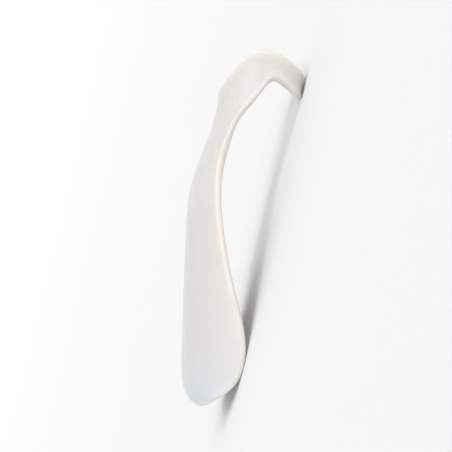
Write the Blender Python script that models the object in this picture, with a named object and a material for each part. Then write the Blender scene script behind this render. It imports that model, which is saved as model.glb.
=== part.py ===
"""Tailor's bunion pad: one moulding of soft gel.

A curved cushion has a flap along each side and a rounded tail, and in front of it a strap makes a
closed ring. The pad is one wall, thick along the middle of the cushion and thin at its rims.

Units are metres. The pad rests on a surface as it does by itself, on its strap and on the rims of its
two flaps: +X runs from the tail to the strap, -Y is the deeper flap's side, and +Z is up. The hollow
faces down.
"""

import math

import bmesh
import bpy
import numpy as np
from mathutils import Matrix, Vector

# Lengths along the pad. The strap's front edge dips back on the outer line and on the inner side.
PAD_LENGTH = 0.0662
STRAP_WIDTH = 0.0050
OUTER_DIP = 0.0070
INNER_DIP = 0.0040

# The strap's opening, how far its outer line lies in from the cushion's, and how far its middle lies
# to the shallow flap's side.
OPENING_WIDTH = 0.0126
OPENING_HEIGHT = 0.0118
STRAP_SETBACK = 0.0074
STRAP_SHIFT = 0.0010

# The cushion's section is an oval that is open on the inner side. These are its half sizes at the
# widest, and how far the tail curls in.
HALF_DEPTH = 0.0126
DEEP_HALF_HEIGHT = 0.0122
SHALLOW_HALF_HEIGHT = 0.0128
TAIL_CURL = 0.0040

# Walls, and the rounding of the rims' corners.
STRAP_WALL = 0.0013
RIM_WALL = 0.0012
CUSHION_WALL = 0.0044
RIM_ROUNDING = 0.0005

# Sections along the pad's outer line. Station is the way along that line and reach the distance behind
# the pad's front, both as shares of PAD_LENGTH. Setback is a share of STRAP_SETBACK, and curl one of
# TAIL_CURL. Spread goes from the strap's oval, 0, to the cushion's, 1. Size is a share of the cushion's
# half sizes, and padding a share of what CUSHION_WALL adds to RIM_WALL.
SECTION_COLUMNS = ("station", "reach", "setback", "curl", "spread", "size", "padding")
SECTIONS = (
    (0.000, 0.000, 1.00, 0.00, 0.00, 0.70, 0.00),
    (0.070, 0.070, 0.99, 0.00, 0.00, 0.70, 0.00),
    (0.140, 0.140, 0.91, 0.00, 0.05, 0.70, 0.03),
    (0.220, 0.219, 0.74, 0.00, 0.30, 0.74, 0.22),
    (0.310, 0.307, 0.44, 0.00, 0.74, 0.80, 0.66),
    (0.400, 0.394, 0.20, 0.00, 0.95, 0.87, 0.95),
    (0.520, 0.513, 0.10, 0.00, 1.00, 0.93, 1.00),
    (0.660, 0.653, 0.05, 0.00, 1.00, 0.98, 0.74),
    (0.800, 0.793, 0.01, 0.00, 1.00, 1.00, 0.52),
    (0.920, 0.913, 0.00, 0.01, 1.00, 0.99, 0.38),
    (0.962, 0.954, 0.00, 0.13, 1.00, 0.97, 0.30),
    (0.994, 0.979, 0.00, 0.40, 1.00, 0.94, 0.22),
    (1.020, 0.994, 0.00, 0.76, 1.00, 0.91, 0.16),
    (1.036, 0.999, 0.00, 1.00, 1.00, 0.89, 0.12),
)

# The wall's back edge, from the inner side to the tail, with one row for both flaps. Behind is the way
# from the strap's back edge to the tail's end, 0 to 1. The deep and the shallow flap's angles are taken
# round the section, from 0 on the outer line to 180 on the inner side. Front is the angle on the
# strap's front edge where the line across the wall that ends here starts. The tail ends at a share of
# PAD_LENGTH along the outer line.
EDGE_COLUMNS = ("behind", "deep", "shallow", "front")
EDGE = (
    (0.000, 180.0, 180.0, 180.0),
    (0.000, 150.0, 150.0, 150.0),
    (0.000, 122.0, 122.0, 122.5),
    (0.003, 106.0, 106.0, 107.0),
    (0.032, 94.0, 94.0, 95.0),
    (0.070, 80.0, 80.0, 82.0),
    (0.091, 67.0, 66.5, 70.0),
    (0.118, 58.0, 57.0, 57.0),
    (0.190, 55.0, 54.0, 45.0),
    (0.300, 59.5, 57.5, 35.5),
    (0.440, 65.0, 62.0, 28.5),
    (0.580, 72.8, 67.5, 23.0),
    (0.700, 81.7, 72.5, 18.5),
    (0.800, 86.5, 75.0, 14.5),
    (0.880, 81.5, 71.0, 11.0),
    (0.930, 66.0, 57.0, 7.7),
    (0.968, 44.0, 38.0, 4.6),
    (1.000, 0.0, 0.0, 0.0),
)
TAIL_END_SHARE = 1.034

# How finely the wall is drawn, and how much closer its rows lie towards the front edge. How far its
# lines across bend round towards the flaps' rims, and how the bend comes in behind the strap, as a
# power of the way behind it.
COLUMNS = 116
ROWS = 17
ROW_CROWDING = 1.2
BEND_SHARE = 0.95
BEND_ONSET = 0.4

# How late the padding thins towards the back edge, as a power of the way across.
PADDING_FALL = 4

# The rims' corners: the angle that counts as one, and the steps of its rounding.
CORNER_ANGLE = math.radians(50)
CORNER_STEPS = 2

# How often the pad is levelled on its three contacts, which is more than it needs.
LEVELLINGS = 30

GEL_COLOUR = (0.78, 0.79, 0.78, 1.0)
GEL_ROUGHNESS = 0.38


def column(table, names, name):
    """One named column of a table, as an array."""
    return np.array([row[names.index(name)] for row in table])


def spline(knots, values, at):
    """The natural cubic spline through the values, read at the given places."""
    step = np.diff(knots)
    slope = np.diff(values) / step
    system = np.eye(len(knots))
    bend = np.zeros(len(knots))
    for i in range(1, len(knots) - 1):
        system[i, i - 1:i + 2] = step[i - 1], 2 * (step[i - 1] + step[i]), step[i]
        bend[i] = 6 * (slope[i] - slope[i - 1])
    bend = np.linalg.solve(system, bend)
    i = np.clip(np.searchsorted(knots, at) - 1, 0, len(step) - 1)
    near, far = (at - knots[i]) / step[i], (knots[i + 1] - at) / step[i]
    curve = ((near**3 - near) * bend[i + 1] + (far**3 - far) * bend[i]) * step[i] ** 2 / 6
    return near * values[i + 1] + far * values[i] + curve


def section(name, station):
    """A column of the section table at a station, which is given in metres."""
    stations = column(SECTIONS, SECTION_COLUMNS, "station")
    return spline(stations, column(SECTIONS, SECTION_COLUMNS, name), station / PAD_LENGTH)


def outer_surface(angle, station):
    """Points of the outer surface: the strap's oval, which opens into the cushion's.

    The spread mixes the two ovals. The half heights on the two flaps' sides meet smoothly on the outer
    line, because their difference goes with the square of the sine.
    """
    spread, size = section("spread", station), section("size", station)
    strap_depth = OPENING_WIDTH / 2 + STRAP_WALL
    strap_height = OPENING_HEIGHT / 2 + STRAP_WALL
    half_depth = strap_depth + spread * (HALF_DEPTH * size - strap_depth)
    deep = strap_height + spread * (DEEP_HALF_HEIGHT * size - strap_height)
    shallow = strap_height + spread * (SHALLOW_HALF_HEIGHT * size - strap_height)
    depth = section("setback", station) * STRAP_SETBACK + section("curl", station) * TAIL_CURL
    depth = depth + half_depth * (1 - np.cos(angle))
    height = (deep + shallow) / 2 * np.sin(angle) + (deep - shallow) / 2 * np.sin(angle) ** 2
    height = height - STRAP_SHIFT * (1 - spread)
    return np.stack([-section("reach", station) * PAD_LENGTH, -height, -depth], axis=-1)


def wall_thickness(angle, station):
    """The wall is STRAP_WALL round the opening and RIM_WALL at the flaps, and swells in between.

    The swelling falls off with the cosine of the angle, and along each line across as it nears the
    back edge.
    """
    across = np.clip(np.cos(angle), 0, 1) * (1 - line_shares() ** PADDING_FALL)
    padding = np.clip(section("padding", station), 0, 1)
    thin = STRAP_WALL + section("spread", station) * (RIM_WALL - STRAP_WALL)
    return thin + (CUSHION_WALL - RIM_WALL) * padding * across


def front_station(angle):
    """The strap's front edge: it dips with the square of the cosine, more on the outer line."""
    dip = np.where(np.cos(angle) > 0, OUTER_DIP, INNER_DIP)
    return dip * np.cos(angle) ** 2


def back_edge():
    """Angle, station and front angle where each line across the wall meets the back edge.

    The rows run once round from the inner side, by way of the deep flap and the tail and back along
    the shallow flap. They are repeated before and after, so that the splines through them close
    smoothly. The lines are evenly spaced by the lengths of the back and the front edge together.
    """
    behind, deep, shallow, front = (column(EDGE, EDGE_COLUMNS, name) for name in EDGE_COLUMNS)
    once = slice(None, -1), slice(None, 0, -1)
    angle = np.radians(np.concatenate([deep[once[0]], -shallow[once[1]]]))
    front = np.radians(np.concatenate([front[once[0]], -front[once[1]]]))
    behind = np.concatenate([behind[once[0]], behind[once[1]]])
    turns = np.repeat([math.tau, 0, -math.tau], len(angle))
    angle, front, behind = np.tile(angle, 3) + turns, np.tile(front, 3) + turns, np.tile(behind, 3)
    strap_back = front_station(angle) + STRAP_WIDTH
    station = strap_back + behind * (TAIL_END_SHARE * PAD_LENGTH - strap_back)
    edges = np.stack([outer_surface(angle, station), outer_surface(front, front_station(front))])
    hops = np.linalg.norm(np.diff(edges, axis=1), axis=2).sum(axis=0)
    knots = np.append(0, np.cumsum(hops))
    start, end = knots[len(turns) // 3], knots[2 * len(turns) // 3]
    at = np.linspace(start, end, COLUMNS, endpoint=False)
    return spline(knots, angle, at), spline(knots, station, at), spline(knots, front, at)


def line_shares():
    """How far along the lines across the rows lie, from the front edge, 0, to the back edge, 1."""
    return np.linspace(0, 1, ROWS)[:, None] ** ROW_CROWDING


def wall_lines():
    """Angle and station of the points on the wall, a row for each closed line between its two edges.

    The lines across start along the pad and bend round, to meet the flaps' rims more squarely.
    """
    angle, station, front = back_edge()
    share = line_shares()
    start = front_station(front)
    behind_strap = 1 - (front_station(angle) + STRAP_WIDTH) / station
    bow = BEND_SHARE * np.clip(behind_strap, 0, 1) ** BEND_ONSET * share * (1 - share)
    return front + (share - bow) * (angle - front), start + (share + bow) * (station - start)


def gel():
    """Milky, soft gel."""
    material = bpy.data.materials.new("milky_gel")
    material.use_nodes = True
    shader = material.node_tree.nodes["Principled BSDF"]
    shader.inputs["Base Color"].default_value = GEL_COLOUR
    shader.inputs["Roughness"].default_value = GEL_ROUGHNESS
    shader.inputs["Metallic"].default_value = 0.0
    return material


def outer_sheet(angle, station):
    """The outer surface as a mesh of quads, closed round the strap and open at its two edges."""
    sheet = bmesh.new()
    lines = [[sheet.verts.new(point) for point in line] for line in outer_surface(angle, station)]
    for line, following in zip(lines, lines[1:]):
        for i in range(COLUMNS):
            sheet.faces.new((line[i - 1], line[i], following[i], following[i - 1]))
    mesh = bpy.data.meshes.new("bunion_pad")
    sheet.to_mesh(mesh)
    sheet.free()
    mesh.shade_smooth()
    return mesh


def bunion_pad():
    """The outer sheet, thickened inwards by the wall there, with its rims rounded."""
    angle, station = wall_lines()
    pad = bpy.data.objects.new("bunion_pad", outer_sheet(angle, station))
    bpy.context.scene.collection.objects.link(pad)
    pad.data.materials.append(gel())
    thickness = wall_thickness(angle, station).ravel()
    wall = pad.vertex_groups.new(name="wall")
    for i, share in enumerate(thickness / thickness.max()):
        wall.add([i], share, "REPLACE")
    solidify = pad.modifiers.new("wall", "SOLIDIFY")
    solidify.thickness = thickness.max()
    solidify.vertex_group = wall.name
    solidify.offset = -1
    solidify.use_even_offset = True
    bevel = pad.modifiers.new("rim rounding", "BEVEL")
    bevel.limit_method = "ANGLE"
    bevel.angle_limit = CORNER_ANGLE
    bevel.width = RIM_ROUNDING
    bevel.segments = CORNER_STEPS
    return pad


def evaluated_points(piece):
    """The piece's points with its modifiers, as an array."""
    shown = piece.evaluated_get(bpy.context.evaluated_depsgraph_get())
    mesh = shown.to_mesh()
    points = np.empty(3 * len(mesh.vertices), np.float32)
    mesh.vertices.foreach_get("co", points)
    shown.to_mesh_clear()
    return points.reshape(-1, 3).astype(float)


def rest_on_surface(pad):
    """Turns and moves the pad to rest on its strap and on the rims of both flaps.

    The plane through the lowest point of each is made level, until the three stay the lowest. The
    origin is then on the surface, under the middle of the pad.
    """
    bpy.context.view_layer.update()
    points = evaluated_points(pad)
    strap = points[:, 0] > -PAD_LENGTH / 2
    deep = ~strap & (points[:, 1] < 0)
    turned = np.eye(3)
    for _ in range(LEVELLINGS):
        now = points @ turned.T
        contacts = [now[group][now[group][:, 2].argmin()] for group in (strap, deep, ~strap & ~deep)]
        up = np.cross(contacts[1] - contacts[0], contacts[2] - contacts[0])
        up = up / np.linalg.norm(up) * np.sign(up[2])
        along = np.array([1.0, 0, 0]) - up[0] * up
        along = along / np.linalg.norm(along)
        turned = np.stack([along, np.cross(up, along), up]) @ turned
    now = points @ turned.T
    low, high = now.min(0), now.max(0)
    shift = Vector((-(low[0] + high[0]) / 2, -(low[1] + high[1]) / 2, -low[2]))
    pad.matrix_world = Matrix.Translation(shift) @ Matrix(turned.tolist()).to_4x4()


def main():
    """Clears the scene, then builds the pad and rests it."""
    for old in list(bpy.data.objects):
        bpy.data.objects.remove(old)
    rest_on_surface(bunion_pad())


main()
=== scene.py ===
"""Looks of the tailor's bunion pad: the soft gel moulding as a fine surface, on a pale floor."""
import logging
import math
from dataclasses import dataclass, field
from enum import Enum
from typing import Any

import bpy
import numpy as np
from mathutils import Matrix, Vector


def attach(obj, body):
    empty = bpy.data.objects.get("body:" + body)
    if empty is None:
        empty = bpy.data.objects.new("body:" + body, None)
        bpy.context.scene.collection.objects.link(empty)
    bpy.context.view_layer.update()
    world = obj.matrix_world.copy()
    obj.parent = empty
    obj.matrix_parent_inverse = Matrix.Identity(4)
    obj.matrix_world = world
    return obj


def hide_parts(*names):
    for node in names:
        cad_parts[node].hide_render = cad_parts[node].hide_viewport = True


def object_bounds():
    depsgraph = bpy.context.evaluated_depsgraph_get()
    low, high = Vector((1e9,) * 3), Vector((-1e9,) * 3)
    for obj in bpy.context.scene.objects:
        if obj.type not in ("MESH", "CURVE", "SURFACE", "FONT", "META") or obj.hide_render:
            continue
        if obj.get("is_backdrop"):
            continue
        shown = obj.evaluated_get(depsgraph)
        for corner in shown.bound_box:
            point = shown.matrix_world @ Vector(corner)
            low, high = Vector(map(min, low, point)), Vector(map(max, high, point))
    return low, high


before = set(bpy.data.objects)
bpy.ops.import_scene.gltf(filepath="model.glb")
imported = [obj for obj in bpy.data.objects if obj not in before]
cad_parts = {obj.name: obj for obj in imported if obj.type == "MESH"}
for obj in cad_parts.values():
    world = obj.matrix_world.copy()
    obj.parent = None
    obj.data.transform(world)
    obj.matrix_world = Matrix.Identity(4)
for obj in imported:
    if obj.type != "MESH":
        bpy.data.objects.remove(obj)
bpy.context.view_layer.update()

log = logging.getLogger("bunion_pad")

NODE = "bunion_pad"
BODY = "root"
SLOT = "milky_gel"

# Inputs and output of a Mix node for colours, whose names its other types share.
MIX_SHARE, MIX_FIRST, MIX_SECOND, MIX_RESULT = 0, 6, 7, 2

# The noise that stands for none, so that a pattern goes both ways from it.
NOISE_MIDDLE = 0.5

# How rough each finer layer of a noise is against the one before.
LAYER_ROUGHNESS = 0.55

# How sharply the places that hold a speck are told from those that don't.
SPECK_SHARPNESS = 50

# The steps used to measure slopes: round and along the surface, and across the wall from an edge.
SLOPE_STEP = 1e-4
EDGE_STEP = 1e-3


class Edge(Enum):
    """The two edges of the gel wall."""

    FRONT = "front"
    BACK = "back"


class Cue(Enum):
    """What the gel's mesh tells its finish about each point, as named attributes."""

    # Mask of the painted highlight on the rims' lips.
    RIM_HIGHLIGHT = "rim"
    # Mask of the painted cool shade at the tail.
    TAIL_SHADE = "tail"
    THICKNESS = "thickness"


@dataclass(frozen=True)
class Pattern:
    """A cloudy noise: the size of its blotches in metres, its finer layers, and its seed."""

    size: float
    layers: float
    seed: float


@dataclass(frozen=True)
class Strewing:
    """Round specks: their spacing and radius in metres, the share of places that hold one, a seed."""

    spacing: float
    radius: float
    share: float
    seed: float


@dataclass(frozen=True)
class Section:
    """One section across the pad.

    Station is the way along the pad's outer line and reach the distance behind the pad's front, both
    as shares of the pad's length. Setback is a share of the strap's setback and curl one of the tail's
    curl. Spread goes from the strap's oval, 0, to the cushion's, 1. Size is a share of the cushion's
    half sizes, and padding a share of what the cushion's wall adds to the rim's.
    """

    station: float
    reach: float
    setback: float
    curl: float
    spread: float
    size: float
    padding: float


@dataclass(frozen=True)
class EdgePlace:
    """One place on the wall's back edge, for both flaps.

    Behind is the way from the strap's back edge to the tail's end, 0 to 1. The deep and the shallow
    flap's angles are taken round the section, from 0 on the outer line to 180 on the inner side. Front
    is the angle on the strap's front edge where the line across the wall that ends here starts.
    """

    behind: float
    deep: float
    shallow: float
    front: float


SECTIONS = (
    Section(0.000, 0.000, 1.00, 0.00, 0.00, 0.70, 0.00),
    Section(0.070, 0.070, 0.99, 0.00, 0.00, 0.70, 0.00),
    Section(0.140, 0.140, 0.91, 0.00, 0.05, 0.70, 0.03),
    Section(0.220, 0.219, 0.74, 0.00, 0.30, 0.74, 0.22),
    Section(0.310, 0.307, 0.44, 0.00, 0.74, 0.80, 0.66),
    Section(0.400, 0.394, 0.20, 0.00, 0.95, 0.87, 0.95),
    Section(0.520, 0.513, 0.10, 0.00, 1.00, 0.93, 1.00),
    Section(0.660, 0.653, 0.05, 0.00, 1.00, 0.98, 0.74),
    Section(0.800, 0.793, 0.01, 0.00, 1.00, 1.00, 0.52),
    Section(0.920, 0.913, 0.00, 0.01, 1.00, 0.99, 0.38),
    Section(0.962, 0.954, 0.00, 0.13, 1.00, 0.97, 0.30),
    Section(0.994, 0.979, 0.00, 0.40, 1.00, 0.94, 0.22),
    Section(1.020, 0.994, 0.00, 0.76, 1.00, 0.91, 0.16),
    Section(1.036, 0.999, 0.00, 1.00, 1.00, 0.89, 0.12),
)

BACK_EDGE = (
    EdgePlace(0.000, 180.0, 180.0, 180.0),
    EdgePlace(0.000, 150.0, 150.0, 150.0),
    EdgePlace(0.000, 122.0, 122.0, 122.5),
    EdgePlace(0.003, 106.0, 106.0, 107.0),
    EdgePlace(0.032, 94.0, 94.0, 95.0),
    EdgePlace(0.070, 80.0, 80.0, 82.0),
    EdgePlace(0.091, 67.0, 66.5, 70.0),
    EdgePlace(0.118, 58.0, 57.0, 57.0),
    EdgePlace(0.190, 55.0, 54.0, 45.0),
    EdgePlace(0.300, 59.5, 57.5, 35.5),
    EdgePlace(0.440, 65.0, 62.0, 28.5),
    EdgePlace(0.580, 72.8, 67.5, 23.0),
    EdgePlace(0.700, 81.7, 72.5, 18.5),
    EdgePlace(0.800, 86.5, 75.0, 14.5),
    EdgePlace(0.880, 81.5, 71.0, 11.0),
    EdgePlace(0.930, 66.0, 57.0, 7.7),
    EdgePlace(0.968, 44.0, 38.0, 4.6),
    EdgePlace(1.000, 0.0, 0.0, 0.0),
)


def columns_of(rows: tuple[Any, ...], *names: str) -> list[np.ndarray]:
    """Named columns of a table of rows.

    Args:
        rows: the rows, each a dataclass with those fields.
        names: the fields to read.

    Returns:
        One array for each name.
    """
    return [np.array([getattr(row, name) for row in rows]) for name in names]


def spline(knots: np.ndarray, values: np.ndarray, at: np.ndarray) -> np.ndarray:
    """The natural cubic spline through the values.

    Between two knots the curve is the straight mix of the two values plus a cubic that is nothing at
    both ends, whose second derivatives at the knots solve one linear system.

    Args:
        knots: where the values stand, rising.
        values: the values there.
        at: the places to read.

    Returns:
        The curve at each place.
    """
    step = np.diff(knots)
    slope = np.diff(values) / step
    inner = np.arange(1, len(knots) - 1)
    system = np.eye(len(knots))
    system[inner, inner - 1] = step[:-1]
    system[inner, inner] = 2 * (step[:-1] + step[1:])
    system[inner, inner + 1] = step[1:]
    bend = np.linalg.solve(system, np.concatenate([[0], 6 * np.diff(slope), [0]]))
    i = np.clip(np.searchsorted(knots, at) - 1, 0, len(step) - 1)
    near, far = (at - knots[i]) / step[i], (knots[i + 1] - at) / step[i]
    curve = ((near**3 - near) * bend[i + 1] + (far**3 - far) * bend[i]) * step[i] ** 2 / 6
    return near * values[i + 1] + far * values[i] + curve


def unit(vectors: np.ndarray) -> np.ndarray:
    """The vectors of an array, each made one long."""
    return vectors / np.linalg.norm(vectors, axis=-1, keepdims=True)


@dataclass
class Placement:
    """Where the pad rests: a turn, as rows of axes, and then a shift."""

    turn: np.ndarray
    shift: np.ndarray

    def apply(self, points: np.ndarray) -> np.ndarray:
        """The points, turned and shifted."""
        return points @ self.turn.T + self.shift

    def direction(self, axis: tuple[float, float, float]) -> Vector:
        """A direction of the pad's own axes, as it lies at rest."""
        return Vector(self.turn @ np.array(axis))


class Value:
    """A number socket of a shader, which adds a Math node for each operator used on it."""

    def __init__(self, shader: "Shader", socket: bpy.types.NodeSocket) -> None:
        """Wraps a socket.

        Args:
            shader: the shader that the socket belongs to.
            socket: the output that carries the number.
        """
        self.shader = shader
        self.socket = socket

    def math(self, operation: str, *others: Any, first: Any = None) -> "Value":
        """A Math node on this number.

        Args:
            operation: Blender's name of the operation.
            others: the further numbers or values.
            first: what stands before this number, in a reflected operation.

        Returns:
            The result as a value.
        """
        inputs = ([] if first is None else [first]) + [self, *others]
        node = self.shader.node("ShaderNodeMath", {"operation": operation}, dict(enumerate(inputs)))
        return Value(self.shader, node.outputs[0])

    def __add__(self, other: Any) -> "Value":
        """This number plus another."""
        return self.math("ADD", other)

    def __radd__(self, other: Any) -> "Value":
        """Another number plus this one."""
        return self.math("ADD", other)

    def __sub__(self, other: Any) -> "Value":
        """This number less another."""
        return self.math("SUBTRACT", other)

    def __rsub__(self, other: Any) -> "Value":
        """Another number less this one."""
        return self.math("SUBTRACT", first=other)

    def __mul__(self, other: Any) -> "Value":
        """This number times another."""
        return self.math("MULTIPLY", other)

    def __rmul__(self, other: Any) -> "Value":
        """Another number times this one."""
        return self.math("MULTIPLY", other)

    def __pow__(self, other: Any) -> "Value":
        """This number to a power."""
        return self.math("POWER", other)

    def clamped(self) -> "Value":
        """This number kept between 0 and 1."""
        return self.math("MAXIMUM", 0.0).math("MINIMUM", 1.0)


class Shader:
    """A material under construction, with its Principled shader at hand."""

    def __init__(self, name: str) -> None:
        """Makes the material.

        Args:
            name: the material's name.
        """
        self.material = bpy.data.materials.new(name)
        self.material.use_nodes = True
        self.tree = self.material.node_tree
        self.principled = self.tree.nodes["Principled BSDF"]

    def node(self, kind: str, settings: dict[str, Any], sockets: dict[Any, Any]) -> bpy.types.Node:
        """Adds a node.

        Args:
            kind: Blender's type of the node.
            settings: the node's own properties, set first.
            sockets: numbers, colours, values or outputs for its inputs, by name or index.

        Returns:
            The node.
        """
        made = self.tree.nodes.new(kind)
        for name, setting in settings.items():
            setattr(made, name, setting)
        for name, given in sockets.items():
            self.feed(made.inputs[name], given)
        return made

    def feed(self, socket: bpy.types.NodeSocket, given: Any) -> None:
        """Gives an input a link or a constant.

        Args:
            socket: the input.
            given: a value, an output to link, or a constant.
        """
        source = given.socket if isinstance(given, Value) else given
        if isinstance(source, bpy.types.NodeSocket):
            self.tree.links.new(source, socket)
        else:
            socket.default_value = source

    def attribute(self, cue: Cue) -> Value:
        """One of the mesh's named attributes."""
        made = self.node("ShaderNodeAttribute", {"attribute_name": cue.value}, {})
        return Value(self, made.outputs["Fac"])

    def place(self) -> bpy.types.NodeSocket:
        """The place on the piece, in object coordinates."""
        return self.node("ShaderNodeTexCoord", {}, {}).outputs["Object"]

    def noise(self, pattern: Pattern) -> Value:
        """Cloudy noise on object coordinates.

        Args:
            pattern: the noise's size, layers and seed.

        Returns:
            The noise, about 0.5 on average.
        """
        made = self.node(
            "ShaderNodeTexNoise",
            {"noise_dimensions": "4D"},
            {
                "Vector": self.place(),
                "W": pattern.seed,
                "Scale": 1 / pattern.size,
                "Detail": pattern.layers,
                "Roughness": LAYER_ROUGHNESS,
            },
        )
        return Value(self, made.outputs["Fac"])

    def specks(self, strewing: Strewing) -> Value:
        """Round specks, strewn over object coordinates.

        Each cell of the pattern has one place for a speck. Its random colour says whether the place
        holds one, and the distance from the place says how much of the speck is left.

        Args:
            strewing: the specks' spacing, radius, share and seed.

        Returns:
            1 in the middle of each speck, falling to 0 at its edge.
        """
        made = self.node(
            "ShaderNodeTexVoronoi",
            {"voronoi_dimensions": "4D"},
            {"Vector": self.place(), "W": strewing.seed, "Scale": 1 / strewing.spacing},
        )
        away = Value(self, made.outputs["Distance"]) * (strewing.spacing / strewing.radius)
        held = (Value(self, made.outputs["Color"]) - (1 - strewing.share)) * SPECK_SHARPNESS
        return (1 - away).clamped() * held.clamped()

    def mix(self, share: Any, first: Any, second: Any) -> bpy.types.NodeSocket:
        """Mixes two colours.

        Args:
            share: how much of the second shows.
            first: a colour or an output.
            second: a colour or an output.

        Returns:
            The output with the mixed colour.
        """
        sockets = {MIX_SHARE: share, MIX_FIRST: first, MIX_SECOND: second}
        return self.node("ShaderNodeMix", {"data_type": "RGBA"}, sockets).outputs[MIX_RESULT]

    def bump(self, height: Any, depth: float, under: Any = None) -> bpy.types.NodeSocket:
        """Raises the surface's shading.

        Args:
            height: the pattern, 0 to 1.
            depth: how high 1 stands, in metres.
            under: the normal of a bump that this one lies on.

        Returns:
            The output with the normal.
        """
        sockets = {"Height": height, "Strength": 1.0, "Distance": depth}
        if under is not None:
            sockets["Normal"] = under
        return self.node("ShaderNodeBump", {}, sockets).outputs["Normal"]


@dataclass(frozen=True)
class MilkyGel:
    """Soft, milky gel: cloudy white, warmer where it is thin, with a painted highlight that makes its
    rims lighter and warmer, and painted cool shade, a blue-grey tint, at the tail.

    Each of the first six values is a colour. A gain says how fast a colour comes in with its cue, and
    a start what is taken off the result. The painted shade at the tail has a least strength, to which
    the clouds add. Depths are in metres.
    """

    thick: tuple[float, float, float, float] = (0.700, 0.684, 0.668, 1.0)
    thin: tuple[float, float, float, float] = (0.682, 0.655, 0.630, 1.0)
    cloud: tuple[float, float, float, float] = (0.632, 0.634, 0.632, 1.0)
    # Blue-grey painted shade at the tail, where it curls away from the light.
    tail: tuple[float, float, float, float] = (0.618, 0.682, 0.738, 1.0)
    # Lighter, warmer painted highlight on the rims' lips.
    rim: tuple[float, float, float, float] = (0.735, 0.695, 0.650, 1.0)
    speck: tuple[float, float, float, float] = (0.800, 0.795, 0.785, 1.0)
    thick_gain: float = 1.4
    thick_start: float = 0.4
    clouds: Pattern = Pattern(0.009, 3.0, 1.7)
    cloud_gain: float = 1.6
    cloud_start: float = 0.35
    wisps: Pattern = Pattern(0.00225, 2.0, 4.2)
    wisp_gain: float = 0.6
    # How strong the painted shade at the tail is: its least, and what the clouds add.
    tail_shade_least: float = 0.4
    tail_shade_clouding: float = 0.7
    # How the painted highlight fades from the rims, and how strong it is.
    rim_highlight_fall: float = 1.5
    rim_highlight_strength: float = 0.9
    specks: Strewing = Strewing(0.0021, 0.00024, 0.3, 3.3)
    speck_strength: float = 0.5
    speck_depth: float = 0.00002
    roughness: float = 0.36
    smears: Pattern = Pattern(0.0045, 4.0, 8.8)
    smear_gain: float = 0.32
    ripple: Pattern = Pattern(0.0045, 1.0, 2.9)
    ripple_depth: float = 0.00022
    grain: Pattern = Pattern(0.0005, 2.0, 6.1)
    grain_depth: float = 0.00003
    scatter: float = 0.85
    scatter_colours: tuple[float, float, float] = (1.0, 0.92, 0.85)
    scatter_depth: float = 0.0026
    refraction: float = 1.42

    def material(self) -> bpy.types.Material:
        """Makes the gel's material.

        Returns:
            The material.
        """
        shader = Shader(SLOT)
        specks = shader.specks(self.specks)
        shader.feed(shader.principled.inputs["Base Color"], self.colour(shader, specks))
        rough = self.roughness + (shader.noise(self.smears) - NOISE_MIDDLE) * self.smear_gain
        shader.feed(shader.principled.inputs["Roughness"], rough.clamped())
        ripple = shader.bump(shader.noise(self.ripple), self.ripple_depth)
        grain = shader.bump(shader.noise(self.grain), self.grain_depth, ripple)
        shader.feed(shader.principled.inputs["Normal"], shader.bump(specks, self.speck_depth, grain))
        self.constants(shader)
        return shader.material

    def colour(self, shader: Shader, specks: Value) -> bpy.types.NodeSocket:
        """Lays the gel's colours over each other: thin to thick, clouds, painted shade at the tail, a
        painted highlight at the rims, specks.

        Args:
            shader: the shader to work in.
            specks: 1 in the middle of each speck.

        Returns:
            The output with the colour.
        """
        clouds = shader.noise(self.clouds)
        thick = shader.attribute(Cue.THICKNESS) * self.thick_gain - self.thick_start
        wisps = (shader.noise(self.wisps) - NOISE_MIDDLE) * self.wisp_gain
        cloudy = clouds * self.cloud_gain - self.cloud_start + wisps
        # Painted cool shade at the tail.
        tail = shader.attribute(Cue.TAIL_SHADE) * (self.tail_shade_least + clouds * self.tail_shade_clouding)
        # Painted highlight on the rims.
        rim = shader.attribute(Cue.RIM_HIGHLIGHT) ** self.rim_highlight_fall * self.rim_highlight_strength
        colour = shader.mix(thick.clamped(), self.thin, self.thick)
        colour = shader.mix(cloudy.clamped(), colour, self.cloud)
        # Then the painted shade at the tail, and the painted highlight at the rims.
        colour = shader.mix(tail.clamped(), colour, self.tail)
        colour = shader.mix(rim.clamped(), colour, self.rim)
        return shader.mix(specks * self.speck_strength, colour, self.speck)

    def constants(self, shader: Shader) -> None:
        """Sets what is the same all over the gel.

        Args:
            shader: the shader to set.
        """
        inputs = shader.principled.inputs
        inputs["Metallic"].default_value = 0.0
        inputs["IOR"].default_value = self.refraction
        inputs["Subsurface Weight"].default_value = self.scatter
        inputs["Subsurface Radius"].default_value = self.scatter_colours
        inputs["Subsurface Scale"].default_value = self.scatter_depth


@dataclass(frozen=True)
class PalePaper:
    """The plain pale sheet that the pad lies on."""

    colour: tuple[float, float, float, float] = (0.90, 0.90, 0.90, 1.0)
    roughness: float = 0.9

    def material(self) -> bpy.types.Material:
        """Makes the sheet's material."""
        shader = Shader("pale_paper")
        shader.feed(shader.principled.inputs["Base Color"], self.colour)
        shader.feed(shader.principled.inputs["Roughness"], self.roughness)
        return shader.material


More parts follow.
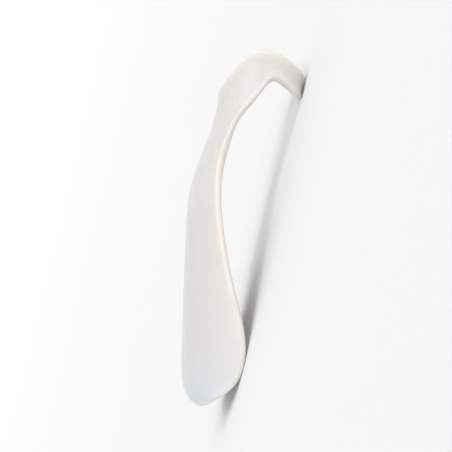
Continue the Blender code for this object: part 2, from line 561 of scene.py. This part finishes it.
@dataclass
class GelPad:
    """The pad: one wall of gel, with a strap in a ring, a neck and a cushion with a curled tail.

    Lengths are in metres. In the pad's own axes +X runs to the strap, -Y is the deeper flap's side and
    +Z points away from the hollow, and the strap's front is at the origin.

    The last values say how finely the wall is drawn, how its rows crowd towards the front edge, how
    its lines bend, how its rims' lips are rounded, where the painted shade at the tail starts, and how
    often the pad is levelled, which is more than it needs.
    """

    length: float = 0.0662
    strap_width: float = 0.0050
    outer_dip: float = 0.0070
    inner_dip: float = 0.0040
    opening_width: float = 0.0126
    opening_height: float = 0.0118
    strap_setback: float = 0.0074
    strap_shift: float = 0.0010
    half_depth: float = 0.0126
    deep_half_height: float = 0.0122
    shallow_half_height: float = 0.0128
    tail_curl: float = 0.0040
    tail_station: float = 1.034
    strap_wall: float = 0.0013
    rim_wall: float = 0.0012
    cushion_wall: float = 0.0044
    padding_fall: int = 4
    rim_reach: float = 0.0016
    bead: float = 0.00016
    columns: int = 440
    lip_rows: int = 7
    wall_rows: int = 64
    row_crowding: float = 1.15
    bend_share: float = 0.95
    bend_onset: float = 0.4
    lip_reach: float = 0.55
    lip_most: float = 0.2
    # Where the painted shade at the tail starts, and how fast it rises.
    tail_shade_start: float = 0.80
    tail_shade_rise: float = 1.5
    levellings: int = 30
    finish: MilkyGel = field(default_factory=MilkyGel)

    def section(self, name: str, station: np.ndarray) -> np.ndarray:
        """A column of the section table at stations in metres.

        Args:
            name: the column.
            station: the way along the outer line.

        Returns:
            The column's values there.
        """
        knots, values = columns_of(SECTIONS, "station", name)
        return spline(knots, values, station / self.length)

    def outer_surface(self, angle: np.ndarray, station: np.ndarray) -> np.ndarray:
        """Points of the outer face.

        The depth is the outer line's plus the section's half depth times one less the cosine of the
        angle, and the height is the half height times the sine. The spread mixes the strap's oval with
        the cushion's, and the difference between the two flaps' half heights goes with the square of
        the sine, so that the two sides meet smoothly.

        Args:
            angle: the angle round the section, in radians.
            station: the way along the outer line, in metres.

        Returns:
            The points, in the pad's own axes.
        """
        spread, size = self.section("spread", station), self.section("size", station)
        strap_depth = self.opening_width / 2 + self.strap_wall
        strap_height = self.opening_height / 2 + self.strap_wall
        half_depth = strap_depth + spread * (self.half_depth * size - strap_depth)
        deep = strap_height + spread * (self.deep_half_height * size - strap_height)
        shallow = strap_height + spread * (self.shallow_half_height * size - strap_height)
        depth = self.section("setback", station) * self.strap_setback
        depth = depth + self.section("curl", station) * self.tail_curl
        depth = depth + half_depth * (1 - np.cos(angle))
        height = (deep + shallow) / 2 * np.sin(angle) + (deep - shallow) / 2 * np.sin(angle) ** 2
        height = height - self.strap_shift * (1 - spread)
        reach = self.section("reach", station) * self.length
        return np.stack([-reach, -height, -depth], axis=-1)

    def outward(self, angle: np.ndarray, station: np.ndarray) -> np.ndarray:
        """The outer face's normals, from the cross product of its slopes round and along.

        Args:
            angle: the angle round the section.
            station: the way along the outer line.

        Returns:
            The unit normals.
        """
        turn, shift = SLOPE_STEP, SLOPE_STEP * self.length
        round_it = self.outer_surface(angle + turn, station) - self.outer_surface(angle - turn, station)
        along_it = self.outer_surface(angle, station + shift) - self.outer_surface(angle, station - shift)
        return unit(np.cross(along_it, round_it))

    def thickness(self, angle: np.ndarray, station: np.ndarray, share: np.ndarray) -> np.ndarray:
        """The wall: thin round the opening and at the rims, and swollen in the cushion's middle.

        The swelling falls off with the cosine of the angle, and with a power of the way along each
        line across.

        Args:
            angle: the angle round the section.
            station: the way along the outer line.
            share: the way along the line across, 0 to 1.

        Returns:
            The thickness in metres.
        """
        across = np.clip(np.cos(angle), 0, 1) * (1 - share**self.padding_fall)
        padding = np.clip(self.section("padding", station), 0, 1)
        thin = self.strap_wall + self.section("spread", station) * (self.rim_wall - self.strap_wall)
        return thin + (self.cushion_wall - self.rim_wall) * padding * across

    def front_station(self, angle: np.ndarray) -> np.ndarray:
        """The strap's front edge, which dips with the square of the cosine, more on the outer line."""
        dip = np.where(np.cos(angle) > 0, self.outer_dip, self.inner_dip)
        return dip * np.cos(angle) ** 2

    def back_edge(self) -> tuple[np.ndarray, np.ndarray, np.ndarray]:
        """Where each line across the wall meets the back edge.

        The places run once round by way of the deep flap, the tail and the shallow flap. They are
        repeated before and after, so that splines through them close, and the lines are spaced evenly
        by the lengths of both edges together.

        Returns:
            The angle, the station and the angle on the front edge, one for each line.
        """
        behind, deep, shallow, front = columns_of(BACK_EDGE, "behind", "deep", "shallow", "front")
        there, back = slice(None, -1), slice(None, 0, -1)
        angle = np.radians(np.concatenate([deep[there], -shallow[back]]))
        front = np.radians(np.concatenate([front[there], -front[back]]))
        behind = np.concatenate([behind[there], behind[back]])
        turns = np.repeat([math.tau, 0, -math.tau], len(angle))
        angle, front, behind = np.tile(angle, 3) + turns, np.tile(front, 3) + turns, np.tile(behind, 3)
        strap_back = self.front_station(angle) + self.strap_width
        station = strap_back + behind * (self.tail_station * self.length - strap_back)
        back_points = self.outer_surface(angle, station)
        front_points = self.outer_surface(front, self.front_station(front))
        hops = np.linalg.norm(np.diff([back_points, front_points], axis=1), axis=2).sum(axis=0)
        knots = np.append(0, np.cumsum(hops))
        start, end = knots[len(turns) // 3], knots[2 * len(turns) // 3]
        at = np.linspace(start, end, self.columns, endpoint=False)
        return spline(knots, angle, at), spline(knots, station, at), spline(knots, front, at)

    def across(self, share: np.ndarray) -> tuple[np.ndarray, np.ndarray]:
        """Angle and station on the lines across the wall, which start along the pad and bend round.

        Both go evenly from the front edge to the back edge, less and plus a bow that is a parabola in
        the share and comes in behind the strap.

        Args:
            share: the way along the lines, as rows by columns.

        Returns:
            The angles and the stations.
        """
        angle, station, front = self.back_edge()
        start = self.front_station(front)
        behind_strap = 1 - (self.front_station(angle) + self.strap_width) / station
        bow = self.bend_share * np.clip(behind_strap, 0, 1) ** self.bend_onset * share * (1 - share)
        return front + (share - bow) * (angle - front), start + (share + bow) * (station - start)

    def middle(self, share: np.ndarray) -> np.ndarray:
        """Points half way through the wall.

        Args:
            share: the way along the lines across.

        Returns:
            The points.
        """
        angle, station = self.across(share)
        half = self.thickness(angle, station, share)[..., None] / 2
        return self.outer_surface(angle, station) - half * self.outward(angle, station)

    def lip_share(self, edge: Edge) -> np.ndarray:
        """How much of each line across the lip takes up, measured square to its edge.

        The lip is as deep as a share of the rim's wall. The slope of the line, less its part along
        the edge, turns that depth into a share of the line.

        Args:
            edge: the front or the back edge.

        Returns:
            One share for each line.
        """
        near, far = (0.0, EDGE_STEP) if edge is Edge.FRONT else (1.0, 1 - EDGE_STEP)
        whole = np.ones((1, self.columns))
        points, further = self.middle(near * whole)[0], self.middle(far * whole)[0]
        way = (further - points) / EDGE_STEP
        along = unit(np.roll(points, -1, axis=0) - np.roll(points, 1, axis=0))
        square = np.linalg.norm(way - (way * along).sum(1, keepdims=True) * along, axis=1)
        return np.minimum(self.rim_wall * self.lip_reach / square, self.lip_most)

    def wall(self) -> tuple[np.ndarray, dict[Cue, np.ndarray]]:
        """The closed wall as a grid, and what its finish needs to know.

        Each line crosses the outer face from the front to the back edge and returns on the inner face.
        The half thickness is full between the lips, and falls to nothing at both edges as a quarter
        circle. Close to the edges it swells by a bead, which goes with a bell of the distance.

        Returns:
            The points as rows by columns, and each cue on the same grid.
        """
        front, back = self.lip_share(Edge.FRONT), self.lip_share(Edge.BACK)
        turn = np.linspace(0, math.pi / 2, self.lip_rows + 1)[:-1]
        step = np.linspace(0, 1, self.wall_rows + 1)[:, None] ** self.row_crowding
        opening, closing = 1 - np.cos(turn)[:, None], 1 - np.cos(turn[::-1])[:, None]
        share = np.concatenate([opening * front, front + step * (1 - back - front), 1 - closing * back])
        full = np.concatenate([np.sin(turn), np.ones(self.wall_rows + 1), np.sin(turn[::-1])])[:, None]
        angle, station = self.across(share)
        middle = self.middle(share)
        hops = np.linalg.norm(np.diff(middle, axis=0), axis=-1)
        gone = np.concatenate([np.zeros((1, self.columns)), np.cumsum(hops, axis=0)])
        to_edge = np.minimum(gone, gone[-1] - gone)
        near_rim = np.exp(-((to_edge / self.rim_reach) ** 2))
        half = self.thickness(angle, station, share) / 2 + self.bead * near_rim
        offset = (half * full)[..., None] * self.outward(angle, station)
        # Mask of the painted cool shade, rising towards the tail's end.
        behind = (station / self.length - self.tail_shade_start) / (1 - self.tail_shade_start)
        tail = np.clip(behind, 0, 1) ** self.tail_shade_rise
        # The bead's bell near the rims also masks the painted highlight on the lips.
        cues = {Cue.RIM_HIGHLIGHT: near_rim, Cue.TAIL_SHADE: tail, Cue.THICKNESS: 2 * half / self.cushion_wall}
        both = {cue: np.concatenate([grid, grid[-2:0:-1]]) for cue, grid in cues.items()}
        return np.concatenate([middle + offset, (middle - offset)[-2:0:-1]]), both

    def resting(self, points: np.ndarray) -> Placement:
        """How the pad lies on its strap and on the rims of both flaps.

        The plane through the lowest point of each is made level, until the three stay the lowest.

        Args:
            points: the pad's points, in its own axes.

        Returns:
            The turn and the shift that rest it, with the origin under its middle.
        """
        strap = points[:, 0] > -self.length / 2
        deep = ~strap & (points[:, 1] < 0)
        turn = np.eye(3)
        groups = (strap, deep, ~strap & ~deep)
        for _ in range(self.levellings):
            now = points @ turn.T
            at_strap, at_deep, at_shallow = (now[g][now[g][:, 2].argmin()] for g in groups)
            up = unit(np.cross(at_deep - at_strap, at_shallow - at_strap))
            up = up * np.sign(up[2])
            along = unit(np.array([1.0, 0, 0]) - up[0] * up)
            turn = np.stack([along, np.cross(up, along), up]) @ turn
        now = points @ turn.T
        low, high = now.min(axis=0), now.max(axis=0)
        return Placement(turn, -np.array([(low[0] + high[0]) / 2, (low[1] + high[1]) / 2, low[2]]))

    def build(self) -> tuple[bpy.types.Object, Placement]:
        """Builds the gel's mesh and lays it where the solid lies.

        Each face takes its corners along its row first, so that it points out of the gel.

        Returns:
            The piece and its placement.
        """
        grid, cues = self.wall()
        rows, columns = grid.shape[:2]
        placement = self.resting(grid.reshape(-1, 3))
        row, line = np.meshgrid(np.arange(rows), np.arange(columns), indexing="ij")
        below, beside = (row + 1) % rows, (line + 1) % columns
        corners = [row * columns + line, row * columns + beside,
                   below * columns + beside, below * columns + line]
        faces = np.stack(corners, axis=-1).reshape(-1, 4)
        mesh = bpy.data.meshes.new("gel_moulding")
        mesh.from_pydata(placement.apply(grid.reshape(-1, 3)).tolist(), [], faces.tolist())
        mesh.validate()
        for cue, values in cues.items():
            layer = mesh.attributes.new(cue.value, "FLOAT", "POINT")
            layer.data.foreach_set("value", values.ravel().astype(np.float32))
        mesh.shade_smooth()
        piece = bpy.data.objects.new("gel_moulding", mesh)
        bpy.context.scene.collection.objects.link(piece)
        return piece, placement

    def dress(self, piece: bpy.types.Object) -> None:
        """Gives the piece its finish and its place in the frame.

        Args:
            piece: the gel's object.
        """
        piece.data.materials.append(self.finish.material())
        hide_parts(NODE)
        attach(piece, BODY)


@dataclass
class Studio:
    """A pale sheet that curves up behind the pad, soft lights, and the camera.

    Lengths are in metres. The key's strength is in watts per square metre and its spread in degrees.
    """

    half_width: float = 2.5
    near_end: float = 2.5
    flat_behind: float = 0.9
    curve: float = 0.6
    curve_points: int = 25
    height: float = 2.0
    room: tuple[float, float, float, float] = (1.0, 1.0, 1.0, 1.0)
    ambient: float = 0.62
    key_side: tuple[float, float, float] = (0.25, -0.80, 0.62)
    key_strength: float = 1.75
    key_spread: float = 50.0
    distance: float = 0.62
    view_height: float = 0.084
    paper: PalePaper = field(default_factory=PalePaper)

    def sweep(self) -> None:
        """The pale sheet: a flat run, a quarter circle and an upright run, carried along X.

        Each step of that profile has two points, and each face joins one step to the next.
        """
        turn = np.linspace(0, math.pi / 2, self.curve_points)
        y = np.concatenate([[-self.near_end], self.flat_behind + self.curve * np.sin(turn)])
        z = np.concatenate([[0.0], self.curve * (1 - np.cos(turn))])
        y, z = np.append(y, y[-1]), np.append(z, self.height)
        x = np.array([-self.half_width, self.half_width])
        points = np.stack(np.broadcast_arrays(x[None, :], y[:, None], z[:, None]), axis=-1)
        first_of_each = 2 * np.arange(len(y) - 1)[:, None]
        faces = first_of_each + np.array([0, 1, 3, 2])
        mesh = bpy.data.meshes.new("pale_sheet")
        mesh.from_pydata(points.reshape(-1, 3).tolist(), [], faces.tolist())
        mesh.shade_smooth()
        mesh.materials.append(self.paper.material())
        sheet = bpy.data.objects.new("pale_sheet", mesh)
        bpy.context.scene.collection.objects.link(sheet)
        sheet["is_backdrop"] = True

    def key(self) -> None:
        """A broad, far light from above the camera, which falls alike on the pad and on the sheet."""
        light = bpy.data.lights.new("key", "SUN")
        light.energy = self.key_strength
        light.angle = math.radians(self.key_spread)
        lamp = bpy.data.objects.new("key", light)
        lamp.rotation_euler = (-Vector(self.key_side)).to_track_quat("-Z", "Y").to_euler()
        bpy.context.scene.collection.objects.link(lamp)

    def soft_room(self) -> None:
        """Soft white light from all round, shown with plain tones."""
        world = bpy.data.worlds.new("soft_room")
        world.use_nodes = True
        background = world.node_tree.nodes["Background"]
        background.inputs["Color"].default_value = self.room
        background.inputs["Strength"].default_value = self.ambient
        bpy.context.scene.world = world
        bpy.context.scene.view_settings.view_transform = "Standard"

    def camera(self, placement: Placement) -> None:
        """Looks at the pad from the deeper flap's side, with the strap at the top of the picture.

        The lens is the one that shows the view's height at the camera's distance.

        Args:
            placement: how the pad lies.
        """
        right, up = placement.direction((0, 0, -1)), placement.direction((1, 0, 0))
        back = placement.direction((0, -1, 0))
        low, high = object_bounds()
        camera = bpy.data.objects.new("camera", bpy.data.cameras.new("camera"))
        camera.data.lens = camera.data.sensor_width * self.distance / self.view_height
        turn = Matrix((right, up, back)).transposed().to_4x4()
        middle = (Vector(low) + Vector(high)) / 2
        camera.matrix_world = Matrix.Translation(middle + back * self.distance) @ turn
        bpy.context.scene.collection.objects.link(camera)
        bpy.context.scene.camera = camera


def main() -> None:
    """Builds the pad, then the studio round it."""
    logging.basicConfig(level=logging.INFO, format="%(message)s")
    pad = GelPad()
    piece, placement = pad.build()
    pad.dress(piece)
    log.info("gel moulding: %d faces", len(piece.data.polygons))
    studio = Studio()
    studio.sweep()
    log.info("pale sheet")
    studio.soft_room()
    studio.key()
    studio.camera(placement)
    log.info("lights and camera")


if __name__ == "__main__":
    main()
